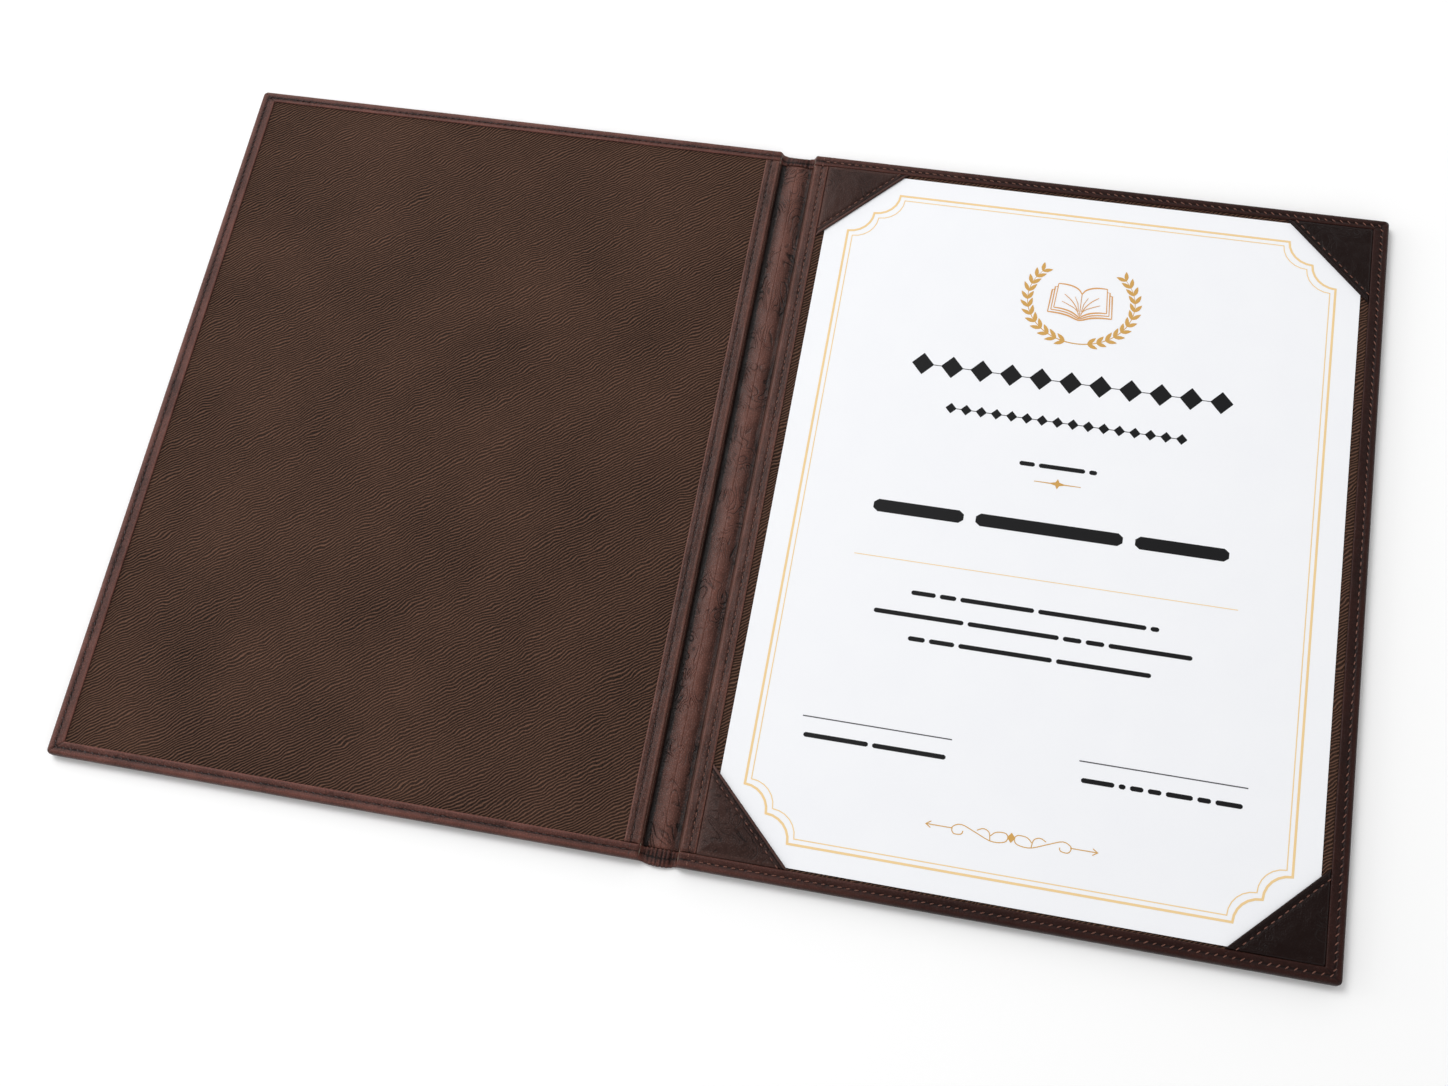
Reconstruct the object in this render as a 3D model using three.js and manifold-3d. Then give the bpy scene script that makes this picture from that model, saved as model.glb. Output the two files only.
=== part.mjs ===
// A diploma cover that lies open and flat, in millimetres.
// +X runs across both covers, +Y up the page, +Z away from the table.
// The origin is on the table, under the middle of the spine.
//
// Two stiff boards are covered by one sheet of leatherette. The sheet turns in over the
// boards' edges as a stitched border. A second strip of leatherette lines the spine.
// Each board has a lining, and the back lining carries a certificate held by four corners.
// The sheet and the strip are divided only where the spine folds.

import * as THREE from 'three';
import { mergeVertices } from 'three/addons/utils/BufferGeometryUtils.js';
import Module from 'manifold-3d';

// Certificate, which sets the size of the covers round it
const pageWidth = 215.9;
const pageHeight = 291.5;
const pageThickness = 0.3;
const pageSideGap = 3.325;      // lining that shows at each side of the page
const pageHeadGap = 1.65;       // and above it
const pageTailGap = 0.95;       // and below it

// Covers
const boardGap = 14.4;          // from one board to the other, across the spine
const boardThickness = 3.0;
const boardCornerRadius = 1.0;
const leather = 0.6;            // thickness of the leatherette
const edgeRadius = 1.3;         // roundness of the leatherette over a board's edge
const cornerRadius = 1.8;       // roundness of a cover's outer corner, from above
const ease = 0.2;               // slack between a board's edge and the leatherette round it

// Border that the outer sheet turns in, measured from the cover's outside
const turnInSide = 6.2;
const turnInHead = 4.8;

// Lining
const liningThickness = 0.5;
const liningMargin = 1.0;       // how far the lining stops short of the board's edge

// Spine
const stripOverlap = 6.25;      // how far the strip inside the spine reaches over each board
const shoulderRadius = 1.2;     // roundness of the strip over a board's inner edge
const padHalfWidth = 4.2;
const padRise = 0.6;            // height of the pad's crown
const padEdge = 0.15;           // height of the pad at its two sides
const foldFromWall = 1.0;       // from the strip's upright wall to the line where it folds
const foldGap = 0.1;            // from the fold line to the leatherette on each side of it

// Corners that hold the certificate
const pageToPocket = 0.25;      // room between the page's edge and a corner's wall
const pocketLeg = 34.0;
const pocketLeather = 0.6;
const hemWidth = 1.1;           // the folded edge that crosses the page
const hemRise = 0.3;

// Thread
const threadWidth = 0.5;
const threadHeight = 0.2;
const borderSeamInset = 2.9;    // from the cover's outside to the border's stitches
const stripSeamInset = 2.5;     // from the spine strip's edge to its stitches
const pocketSeamInset = 2.6;    // from a corner's folded edge to its stitches

// Print
const inkThickness = 0.04;
const frameMarginX = 9.65;      // from the page's edge to the middle of the frame's outer line
const frameMarginY = 8.6;
const frameLine = 0.9;
const frameScoop = 9.6;         // radius of each of the two hollows at a frame's corner
const innerFrameInset = 2.1;
const innerFrameLine = 0.4;
const ruleLine = 0.45;
const fineLine = 0.35;
const hairLine = 0.3;
const laurelRadius = 21.2;
const leafLength = 5.4;
const leafWidth = 2.0;
const bookHalfWidth = 13.0;
const bookHeight = 15.5;
const headingHalfSpan = 63.0;
const headingHeight = 9.6;
const subheadingHalfSpan = 47.0;
const subheadingHeight = 4.6;
const starHalfLength = 9.0;
const starHeight = 4.4;
const nameHeight = 5.2;
const textHeight = 1.8;         // height of the bars that stand for small writing
const textPitch = 9.1;          // from one line of small writing to the next
const captionInset = 1.4;       // how much shorter a caption is at each end than its rule

// Places of the print, down from the page's head or up from its foot
const laurelDrop = 46.45;
const headingDrop = 84.15;
const subheadingDrop = 101.95;
const leadLineDrop = 121.15;
const starDrop = 127.95;
const nameDrop = 147.15;
const nameRuleDrop = 168.15;
const textDrop = 180.55;
const signatureRise = 56.75;
const captionRise = 49.75;
const scrollRise = 24.35;

// Heights and places that follow from the sizes above
const liningBase = leather + boardThickness;
const liningTop = liningBase + liningThickness;
const lipTop = liningTop + leather;
const webTop = 2 * leather;
const pageTop = liningTop + pageThickness;
const pocketTop = pageTop + pocketLeather;
const boardInner = boardGap / 2;
const stripEdge = boardInner + stripOverlap;
const pageCentreX = stripEdge + pageSideGap + pageWidth / 2;
const lipInnerX = stripEdge + pageWidth + 2 * pageSideGap;
const lipHeadY = pageHeight / 2 + pageHeadGap;
const lipTailY = -pageHeight / 2 - pageTailGap;
const halfWidth = lipInnerX + turnInSide;
const halfHeight = lipHeadY + turnInHead;
const boardOuter = halfWidth - leather - ease;
const boardHalfHeight = halfHeight - leather - ease;
const wallBack = boardInner - ease;
const wallFace = wallBack - leather;
const foldX = wallFace - foldFromWall;
const bulgeHalfWidth = padHalfWidth + leather;
const bulgeRise = padRise + ease;
const frameWidth = pageWidth - 2 * frameMarginX;
const frameHeight = pageHeight - 2 * frameMarginY;

const wasm = await Module();
wasm.setup();

// Colours and surface finishes
const finishes = {
  leatherette: { color: 0x4a2a25, roughness: 0.5, metalness: 0 },
  board: { color: 0x8d8577, roughness: 0.9, metalness: 0 },
  lining: { color: 0x3a2c22, roughness: 0.8, metalness: 0 },
  paper: { color: 0xf2f2f3, roughness: 0.75, metalness: 0 },
  gold: { color: 0xd9a85c, roughness: 0.45, metalness: 0 },
  ink: { color: 0x1b1b1d, roughness: 0.6, metalness: 0 },
  thread: { color: 0x5e3126, roughness: 0.7, metalness: 0 },
};

function toSolid(geometry) {
  const bare = geometry.clone();
  bare.deleteAttribute('normal');
  bare.deleteAttribute('uv');
  const merged = mergeVertices(bare, 1e-4);
  const vertProperties = Float32Array.from(merged.attributes.position.array);
  const triVerts = Uint32Array.from(merged.index.array);
  return new wasm.Manifold(new wasm.Mesh({ numProp: 3, vertProperties, triVerts }));
}

function toGeometry(solid) {
  const mesh = solid.getMesh();
  const geometry = new THREE.BufferGeometry();
  geometry.setAttribute('position', new THREE.BufferAttribute(Float32Array.from(mesh.vertProperties), 3));
  geometry.setIndex(new THREE.BufferAttribute(Uint32Array.from(mesh.triVerts), 1));
  geometry.computeVertexNormals();
  return geometry;
}

function join(geometries) {
  const solids = geometries.map(toSolid);
  return toGeometry(solids.reduce((sum, solid) => sum.add(solid)));
}

// An outline in X and Y, raised from one height to another.
function raise(shape, low, high, curveSegments = 4) {
  const geometry = new THREE.ExtrudeGeometry(shape, { depth: high - low, bevelEnabled: false, curveSegments });
  geometry.translate(0, 0, low);
  return geometry;
}

// A profile in X and Z, run along Y.
function runAlongY(shape, low, high, curveSegments = 4) {
  const geometry = raise(shape, 0, high - low, curveSegments);
  geometry.rotateX(Math.PI / 2);
  geometry.translate(0, high, 0);
  return geometry;
}

// A profile in Y and Z, run along X.
function runAlongX(shape, low, high, curveSegments = 4) {
  const geometry = raise(shape, 0, high - low, curveSegments);
  const turn = new THREE.Matrix4().makeBasis(
    new THREE.Vector3(0, 1, 0),
    new THREE.Vector3(0, 0, 1),
    new THREE.Vector3(1, 0, 0),
  );
  geometry.applyMatrix4(turn);
  geometry.translate(low, 0, 0);
  return geometry;
}

function box(x0, x1, y0, y1, z0, z1) {
  const geometry = new THREE.BoxGeometry(x1 - x0, y1 - y0, z1 - z0);
  geometry.translate((x0 + x1) / 2, (y0 + y1) / 2, (z0 + z1) / 2);
  return geometry;
}

// The same piece on the other cover: a mirror image across the spine.
function mirrorX(geometry) {
  const copy = geometry.index ? geometry.toNonIndexed() : geometry.clone();
  copy.scale(-1, 1, 1);
  const p = copy.attributes.position;
  for (let i = 0; i < p.count; i += 3) {
    const second = new THREE.Vector3().fromBufferAttribute(p, i + 1);
    const third = new THREE.Vector3().fromBufferAttribute(p, i + 2);
    p.setXYZ(i + 1, third.x, third.y, third.z);
    p.setXYZ(i + 2, second.x, second.y, second.z);
  }
  copy.computeVertexNormals();
  return copy;
}

function polygon(points) {
  return new THREE.Shape(points.map(([x, y]) => new THREE.Vector2(x, y)));
}

function roundedRectangle(x0, x1, y0, y1, radius) {
  const shape = new THREE.Shape();
  shape.moveTo(x0 + radius, y0);
  shape.absarc(x1 - radius, y0 + radius, radius, -Math.PI / 2, 0);
  shape.absarc(x1 - radius, y1 - radius, radius, 0, Math.PI / 2);
  shape.absarc(x0 + radius, y1 - radius, radius, Math.PI / 2, Math.PI);
  shape.absarc(x0 + radius, y0 + radius, radius, Math.PI, 1.5 * Math.PI);
  return shape;
}

// A line of even width through points, as an outline with mitred bends.
function ribbonSides(points, width, closed) {
  const left = [];
  const right = [];
  const last = points.length - 1;
  points.forEach((point, i) => {
    const before = points[i > 0 ? i - 1 : (closed ? last : 0)];
    const after = points[i < last ? i + 1 : (closed ? 0 : last)];
    const into = new THREE.Vector2(point[0] - before[0], point[1] - before[1]).normalize();
    const out = new THREE.Vector2(after[0] - point[0], after[1] - point[1]).normalize();
    if (into.length() === 0) into.copy(out);
    if (out.length() === 0) out.copy(into);
    const along = into.clone().add(out).normalize();
    const reach = width / 2 / Math.max(along.dot(out), 0.5);
    left.push([point[0] - along.y * reach, point[1] + along.x * reach]);
    right.push([point[0] + along.y * reach, point[1] - along.x * reach]);
  });
  return { left, right };
}

function ribbon(points, width) {
  const { left, right } = ribbonSides(points, width, false);
  return polygon([...left, ...right.reverse()]);
}

// A closed line of even width, cut as an outer field less the field inside it.
function ring(points, width, low, high) {
  const { left, right } = ribbonSides(points, width, true);
  const outer = toSolid(raise(polygon(left), low, high));
  const inner = toSolid(raise(polygon(right), low - leather, high + leather));
  return toGeometry(outer.subtract(inner));
}

function arcPoints(x, y, radius, start, end, steps) {
  const points = [];
  for (let i = 0; i <= steps; i += 1) {
    const angle = THREE.MathUtils.degToRad(start + (end - start) * i / steps);
    points.push([x + radius * Math.cos(angle), y + radius * Math.sin(angle)]);
  }
  return points;
}

function curvePoints(points, steps) {
  const curve = new THREE.SplineCurve(points.map(([x, y]) => new THREE.Vector2(x, y)));
  return curve.getPoints(steps).map((p) => [p.x, p.y]);
}

// The outer sheet of one cover

// Section across a cover: flat outside, rounded outer edge, shoulder and fold at the spine.
function panelSection() {
  const shape = new THREE.Shape();
  shape.moveTo(foldX + foldGap, 0);
  shape.lineTo(halfWidth - edgeRadius, 0);
  shape.absarc(halfWidth - edgeRadius, edgeRadius, edgeRadius, -Math.PI / 2, 0);
  shape.absarc(halfWidth - edgeRadius, lipTop - edgeRadius, edgeRadius, 0, Math.PI / 2);
  shape.absarc(wallFace + shoulderRadius, lipTop - shoulderRadius, shoulderRadius, Math.PI / 2, Math.PI);
  shape.lineTo(wallFace, webTop);
  shape.lineTo(foldX + foldGap, webTop);
  return shape;
}

function coverSkin() {
  const across = toSolid(runAlongY(panelSection(), -halfHeight, halfHeight));
  const along = toSolid(runAlongX(roundedRectangle(-halfHeight, halfHeight, 0, lipTop, edgeRadius), 0, halfWidth));
  const plan = toSolid(raise(roundedRectangle(-halfWidth, halfWidth, -halfHeight, halfHeight, cornerRadius),
    0, lipTop));
  const hollow = toSolid(box(wallBack, halfWidth - leather, -halfHeight + leather, halfHeight - leather,
    leather, liningTop));
  const opening = toSolid(box(0, lipInnerX, lipTailY, lipHeadY, leather, lipTop + leather));
  return toGeometry(across.intersect(along).intersect(plan).subtract(hollow).subtract(opening));
}

function coverBoard() {
  const outline = roundedRectangle(boardInner, boardOuter, -boardHalfHeight, boardHalfHeight, boardCornerRadius);
  return raise(outline, leather, liningBase, 3);
}

function coverLining() {
  const reach = boardHalfHeight - liningMargin;
  return box(boardInner, boardOuter - liningMargin, -reach, reach, liningBase, liningTop);
}

// The part of the spine strip that is sewn to one board and folds down into the groove.
function stripWing() {
  const shape = new THREE.Shape();
  shape.moveTo(foldX + foldGap, leather);
  shape.lineTo(wallBack, leather);
  shape.lineTo(wallBack, liningTop);
  shape.lineTo(stripEdge, liningTop);
  shape.lineTo(stripEdge, lipTop);
  shape.absarc(wallFace + shoulderRadius, lipTop - shoulderRadius, shoulderRadius, Math.PI / 2, Math.PI);
  shape.lineTo(wallFace, webTop);
  shape.lineTo(foldX + foldGap, webTop);
  return runAlongY(shape, lipTailY + ease, lipHeadY - ease);
}

// The spine between its two folds

// Half a dome's outline, from one side to the other, over a flat base.
function dome(base, halfSpan, rise) {
  const steps = 12;
  const points = [];
  for (let i = 0; i <= steps; i += 1) {
    const x = halfSpan - 2 * halfSpan * i / steps;
    points.push([x, base + rise * (1 - (x / halfSpan) ** 2)]);
  }
  return points;
}

function spineTopOutline() {
  const edge = foldX - foldGap;
  return [[edge, webTop], ...dome(webTop, bulgeHalfWidth, bulgeRise), [-edge, webTop]];
}

function spineUnderOutline() {
  return dome(leather, bulgeHalfWidth, bulgeRise);
}

function spineSkin() {
  const edge = foldX - foldGap;
  const body = polygon([[-edge, 0], [edge, 0], ...spineTopOutline()]);
  const outer = toSolid(runAlongY(body, -halfHeight, halfHeight));
  const padRoom = toSolid(runAlongY(polygon(spineUnderOutline()), -halfHeight + leather, halfHeight - leather));
  const opening = toSolid(box(-foldX, foldX, lipTailY, lipHeadY, leather, lipTop));
  return toGeometry(outer.subtract(padRoom).subtract(opening));
}

function spineStrip() {
  const edge = foldX - foldGap;
  const under = spineUnderOutline().reverse();
  const body = polygon([[-edge, leather], ...under, [edge, leather], ...spineTopOutline()]);
  return runAlongY(body, lipTailY + ease, lipHeadY - ease);
}

function spinePad() {
  const top = dome(leather + padEdge, padHalfWidth, padRise - padEdge);
  const body = polygon([[-padHalfWidth, leather], [padHalfWidth, leather], ...top]);
  const reach = halfHeight - leather - ease;
  return runAlongY(body, -reach, reach);
}

// Certificate corners

// A corner's place: the point where the two borders meet, and the way it points inwards.
const pocketPlaces = [
  { name: 'head_spine_corner', x: stripEdge, y: lipHeadY, dx: 1, dy: -1 },
  { name: 'head_fore_corner', x: lipInnerX, y: lipHeadY, dx: -1, dy: -1 },
  { name: 'tail_spine_corner', x: stripEdge, y: lipTailY, dx: 1, dy: 1 },
  { name: 'tail_fore_corner', x: lipInnerX, y: lipTailY, dx: -1, dy: 1 },
];

function triangle(place, leg) {
  const points = [[place.x, place.y], [place.x + place.dx * leg, place.y], [place.x, place.y + place.dy * leg]];
  return polygon(place.dx * place.dy > 0 ? points : points.reverse());
}

// The strip of the corner that lies between two lines parallel to its folded edge.
function hemBand(place) {
  const inner = pocketLeg - hemWidth * Math.SQRT2;
  const points = [
    [place.x + place.dx * inner, place.y],
    [place.x + place.dx * pocketLeg, place.y],
    [place.x, place.y + place.dy * pocketLeg],
    [place.x, place.y + place.dy * inner],
  ];
  return polygon(place.dx * place.dy > 0 ? points : points.reverse());
}

function pocket(place) {
  const flap = toSolid(raise(triangle(place, pocketLeg), liningTop, pocketTop));
  const hem = toSolid(raise(hemBand(place), pageTop, pocketTop + hemRise));
  const room = toSolid(box(
    pageCentreX - pageWidth / 2 - pageToPocket, pageCentreX + pageWidth / 2 + pageToPocket,
    -pageHeight / 2 - pageToPocket, pageHeight / 2 + pageToPocket,
    liningTop - leather, pageTop,
  ));
  return toGeometry(flap.add(hem).subtract(room));
}

// Threads, each as one run along its seam

function threadAt(points, height) {
  return raise(ribbon(points, threadWidth), height, height + threadHeight);
}

const stripSeamX = stripEdge - stripSeamInset;

function borderThread() {
  const x = halfWidth - borderSeamInset;
  const y = halfHeight - borderSeamInset;
  return threadAt([[stripSeamX, y], [x, y], [x, -y], [stripSeamX, -y]], lipTop);
}

function stripThread() {
  return threadAt([[stripSeamX, lipTailY + ease], [stripSeamX, lipHeadY - ease]], lipTop);
}

function pocketThread(place) {
  const leg = pocketLeg - pocketSeamInset * Math.SQRT2;
  const trim = threadWidth * Math.SQRT2;
  const start = [place.x + place.dx * (leg - trim), place.y + place.dy * trim];
  const end = [place.x + place.dx * trim, place.y + place.dy * (leg - trim)];
  return threadAt([start, end], pocketTop);
}

// Print. It lies on the page as thin fields, each drawn round its own middle.

function print(shape, curveSegments = 4) {
  return raise(shape, 0, inkThickness, curveSegments);
}

// A frame's line: straight sides that step in at each corner by two hollow quarter rounds.
function framePoints(width, height) {
  const quarter = [[width / 2 - 2 * frameScoop, height / 2]];
  const steps = 6;
  for (let k = 1; k >= 0; k -= 1) {
    const x = width / 2 - k * frameScoop;
    const y = height / 2 - (1 - k) * frameScoop;
    quarter.push(...arcPoints(x, y, frameScoop, 180, 270, steps).slice(1));
  }
  const half = [...quarter, ...quarter.map(([x, y]) => [x, -y]).reverse()];
  return [...half, ...half.map(([x, y]) => [-x, y]).reverse()];
}

// One laurel leaf, a pointed oval that starts at a point of the stem.
function leaf(x, y, direction, length, width) {
  const angle = THREE.MathUtils.degToRad(direction);
  const outline = [[0, 0], [0.25, 0.8], [0.5, 1], [0.8, 0.6], [1, 0], [0.8, -0.5], [0.5, -0.9], [0.25, -0.7]];
  return polygon(outline.map(([along, aside]) => [
    x + Math.cos(angle) * along * length - Math.sin(angle) * aside * width / 2,
    y + Math.sin(angle) * along * length + Math.cos(angle) * aside * width / 2,
  ]).reverse());
}

// The right half of the laurel wreath: a round stem with leaves in pairs and one at its tip.
function laurelBranch() {
  const start = -80;
  const end = 32;
  const pairs = 11;
  const spread = 30;
  const stemFoot = [-0.2 * laurelRadius, -1.03 * laurelRadius];
  const stem = [stemFoot, ...arcPoints(0, 0, laurelRadius, start, end, 18)];
  const pieces = [print(ribbon(stem, fineLine))];
  for (let i = 1; i <= pairs; i += 1) {
    const angle = start + 8 + (end - start - 10) * (i - 1) / (pairs - 1);
    const [x, y] = arcPoints(0, 0, laurelRadius, angle, angle, 1)[0];
    const length = leafLength * (1 - 0.25 * i / pairs);
    pieces.push(print(leaf(x, y, angle + 90 + spread, length, leafWidth)));
    pieces.push(print(leaf(x, y, angle + 90 - spread, length, leafWidth)));
  }
  const [tipX, tipY] = arcPoints(0, 0, laurelRadius, end, end, 1)[0];
  pieces.push(print(leaf(tipX - fineLine, tipY, end + 94, leafLength * 0.8, leafWidth * 0.8)));
  return join(pieces);
}

// A plain open book in line: its outline and the fold down its middle.
function openBook() {
  const foldTop = 0.19;
  const foldFoot = -0.61;
  const outline = [[0.28, 0.34], [0.75, 0.39], [0.75, 0.29], [1, 0.29], [1, -0.54], [0.14, -0.54]];
  const right = outline.map(([x, y]) => [x * bookHalfWidth, y * bookHeight]);
  const left = right.map(([x, y]) => [-x, y]).reverse();
  const top = [0, foldTop * bookHeight];
  const foot = [0, foldFoot * bookHeight];
  const fold = [[0, top[1] - fineLine / 3], [0, foot[1] + fineLine / 3]];
  return join([ring([top, ...right, foot, ...left], fineLine, 0, inkThickness), print(ribbon(fold, fineLine))]);
}

// A row of pointed lozenges on a hair line, in place of a heading.
function lozengeRow(halfSpan, count, width, height) {
  const pitch = (2 * halfSpan - width) / (count - 1);
  const above = [];
  const below = [];
  for (let i = 0; i < count; i += 1) {
    const x = -halfSpan + width / 2 + i * pitch;
    above.push([x - width / 2, hairLine / 2], [x, height / 2], [x + width / 2, hairLine / 2]);
    below.push([x - width / 2, -hairLine / 2], [x, -height / 2], [x + width / 2, -hairLine / 2]);
  }
  return print(polygon([...below, ...above.reverse()]));
}

// A solid bar in place of a line of writing. Slant leans it like italic writing.
function bar(x0, x1, height, slant = 0) {
  const lean = slant * height / 2;
  return print(polygon([
    [x0 - lean, -height / 2],
    [x1 - lean, -height / 2],
    [x1 + lean, height / 2],
    [x0 + lean, height / 2],
  ]));
}

// A hair line that swells into a four-pointed star.
function starRule() {
  const waist = starHeight / 6;
  const reach = starHeight * 0.6;
  const tip = hairLine / 2;
  const upper = [[starHalfLength, tip], [reach, 1.5 * tip], [waist, waist], [0, starHeight / 2],
    [-waist, waist], [-reach, 1.5 * tip], [-starHalfLength, tip]];
  return print(polygon([...upper, ...upper.map(([x, y]) => [x, -y]).reverse()]));
}

// Foot ornament: two mirrored scrolls that meet at a lozenge, with an arrow at each end.
function footScroll() {
  const right = [
    curvePoints([[1.0, 0.4], [2.4, 1.6], [5.6, 1.3], [7.4, -0.3]], 10),
    curvePoints([[1.0, 0.4], [2.2, -1.7], [7, -2.2], [13, 0.1], [18.2, 2], [21.3, 0.6],
      [20.6, -1.6], [17.9, -1.5], [17.3, -0.2]], 30),
    curvePoints([[7.4, -2], [8, 0.9], [10.2, 1.9], [12.4, 0.9]], 8),
    [[21.1, 0.2], [30.4, 0.2]],
    [[29.0, 1.4], [30.8, 0.2], [29.0, -1.0]],
  ];
  const lines = [...right, ...right.map((line) => line.map(([x, y]) => [-x, y]))];
  const lozenge = polygon([[0, -1.6], [1.5, 0.3], [0, 2.2], [-1.5, 0.3]]);
  return join([print(lozenge), ...lines.map((line) => print(ribbon(line, fineLine)))]);
}

// Both ends of each line of writing, from the page's left and right edges.
const leadLineInsets = [92.5, 93.5];
const nameInsets = [40, 42];
const nameRuleInsets = [35, 36.2];
const textInsets = [[59, 64], [46, 51], [60.4, 65.2]];
const signatureInsets = { left: [26.4, 133.8], right: [128.6, 27.2] };

// The assembly

const cover = new THREE.Group();
const certificate = new THREE.Group();
certificate.position.set(pageCentreX, 0, pageTop);
cover.add(certificate);

function add(group, name, geometry, finish, y = 0) {
  const mesh = new THREE.Mesh(geometry, new THREE.MeshStandardMaterial(finishes[finish]));
  mesh.name = name;
  mesh.position.y = y;
  group.add(mesh);
}

add(cover, 'back_board', coverBoard(), 'board');
add(cover, 'back_cover_skin', coverSkin(), 'leatherette');
add(cover, 'back_lining', coverLining(), 'lining');
add(cover, 'back_spine_wing', stripWing(), 'leatherette');
add(cover, 'back_border_thread', borderThread(), 'thread');
add(cover, 'back_wing_thread', stripThread(), 'thread');

add(cover, 'front_board', mirrorX(coverBoard()), 'board');
add(cover, 'front_cover_skin', mirrorX(coverSkin()), 'leatherette');
add(cover, 'front_lining', mirrorX(coverLining()), 'lining');
add(cover, 'front_spine_wing', mirrorX(stripWing()), 'leatherette');
add(cover, 'front_border_thread', mirrorX(borderThread()), 'thread');
add(cover, 'front_wing_thread', mirrorX(stripThread()), 'thread');

add(cover, 'spine_skin', spineSkin(), 'leatherette');
add(cover, 'spine_pad', spinePad(), 'board');
add(cover, 'spine_strip', spineStrip(), 'leatherette');

for (const place of pocketPlaces) {
  add(cover, place.name, pocket(place), 'leatherette');
  add(cover, `${place.name}_thread`, pocketThread(place), 'thread');
}

const sheet = box(-pageWidth / 2, pageWidth / 2, -pageHeight / 2, pageHeight / 2, -pageThickness, 0);
add(certificate, 'certificate_sheet', sheet, 'paper');

function fromHead(drop) {
  return pageHeight / 2 - drop;
}

function fromFoot(rise) {
  return -pageHeight / 2 + rise;
}

function insetBar([left, right], height, slant) {
  return bar(-pageWidth / 2 + left, pageWidth / 2 - right, height, slant);
}

const outerFrame = framePoints(frameWidth, frameHeight);
const innerFrame = framePoints(frameWidth - 2 * innerFrameInset, frameHeight - 2 * innerFrameInset);
add(certificate, 'print_frame_outer', ring(outerFrame, frameLine, 0, inkThickness), 'gold');
add(certificate, 'print_frame_inner', ring(innerFrame, innerFrameLine, 0, inkThickness), 'gold');
const branch = laurelBranch();
add(certificate, 'print_laurel_wreath', join([branch, mirrorX(branch)]), 'gold', fromHead(laurelDrop));
add(certificate, 'print_open_book', openBook(), 'gold', fromHead(laurelDrop));
add(certificate, 'print_star_rule', starRule(), 'gold', fromHead(starDrop));
add(certificate, 'print_name_rule', insetBar(nameRuleInsets, hairLine), 'gold', fromHead(nameRuleDrop));
add(certificate, 'print_foot_scroll', footScroll(), 'gold', fromFoot(scrollRise));

const heading = lozengeRow(headingHalfSpan, 11, 0.9 * headingHeight, headingHeight);
const subheading = lozengeRow(subheadingHalfSpan, 16, 0.9 * subheadingHeight, subheadingHeight);
add(certificate, 'print_heading', heading, 'ink', fromHead(headingDrop));
add(certificate, 'print_subheading', subheading, 'ink', fromHead(subheadingDrop));
add(certificate, 'print_lead_line', insetBar(leadLineInsets, textHeight), 'ink', fromHead(leadLineDrop));
add(certificate, 'print_name_line', insetBar(nameInsets, nameHeight, 0.3), 'ink', fromHead(nameDrop));
textInsets.forEach((insets, i) => {
  const y = fromHead(textDrop + i * textPitch);
  add(certificate, `print_body_line_${i + 1}`, insetBar(insets, textHeight), 'ink', y);
});
for (const [side, [left, right]] of Object.entries(signatureInsets)) {
  const caption = [left + captionInset, right + captionInset];
  add(certificate, `print_signature_rule_${side}`, insetBar([left, right], ruleLine), 'ink', fromFoot(signatureRise));
  add(certificate, `print_caption_${side}`, insetBar(caption, textHeight), 'ink', fromFoot(captionRise));
}

export default cover;
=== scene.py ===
# %% [markdown]
# # A diploma cover, lying open
# The cover is two stiff boards wrapped in leatherette, a soft spine between them, and a certificate
# held by four corner pockets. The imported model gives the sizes, the moving bodies and the plain
# solids. This script dresses them: first the camera and light, then the finishes, then each piece.
# Lengths are written in millimetres, because that is how such a cover is cut, and MM turns them into
# Blender's metres.

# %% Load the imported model
import math
import bpy
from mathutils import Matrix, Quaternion, Vector, noise


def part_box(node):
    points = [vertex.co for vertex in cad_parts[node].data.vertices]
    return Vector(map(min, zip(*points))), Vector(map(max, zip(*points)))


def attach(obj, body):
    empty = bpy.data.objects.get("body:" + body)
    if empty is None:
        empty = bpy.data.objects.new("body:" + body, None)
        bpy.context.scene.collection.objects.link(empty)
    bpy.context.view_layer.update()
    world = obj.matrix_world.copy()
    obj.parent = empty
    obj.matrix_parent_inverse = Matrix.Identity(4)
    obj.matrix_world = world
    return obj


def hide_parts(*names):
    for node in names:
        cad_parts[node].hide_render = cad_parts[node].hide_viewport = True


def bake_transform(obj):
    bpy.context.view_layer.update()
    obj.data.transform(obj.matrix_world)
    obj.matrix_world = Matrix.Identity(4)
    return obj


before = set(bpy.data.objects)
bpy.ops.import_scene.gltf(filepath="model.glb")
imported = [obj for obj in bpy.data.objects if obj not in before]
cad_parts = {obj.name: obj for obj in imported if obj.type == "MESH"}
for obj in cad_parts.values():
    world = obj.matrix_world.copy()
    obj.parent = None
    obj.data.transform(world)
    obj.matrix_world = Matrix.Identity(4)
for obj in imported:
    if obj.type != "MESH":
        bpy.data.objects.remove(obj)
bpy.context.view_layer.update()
MM = 0.001

# %% [markdown]
# ## Camera
# The photograph looks down on the open cover from in front, a little to its right, with the camera
# tipped over by about thirteen degrees. A camera that looks at a point on the floor is level first,
# and then it is rolled about its own line of sight.

# %% Camera
CAMERA_SPOT = Vector((89.586, -230.434, 594.656)) * MM
CAMERA_AIM = Vector((0.50, -24.87, 0.0)) * MM
CAMERA_ROLL = math.radians(-13.5018)
LENS_LENGTH = 40.2615
SENSOR_WIDTH = 36.0

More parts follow.
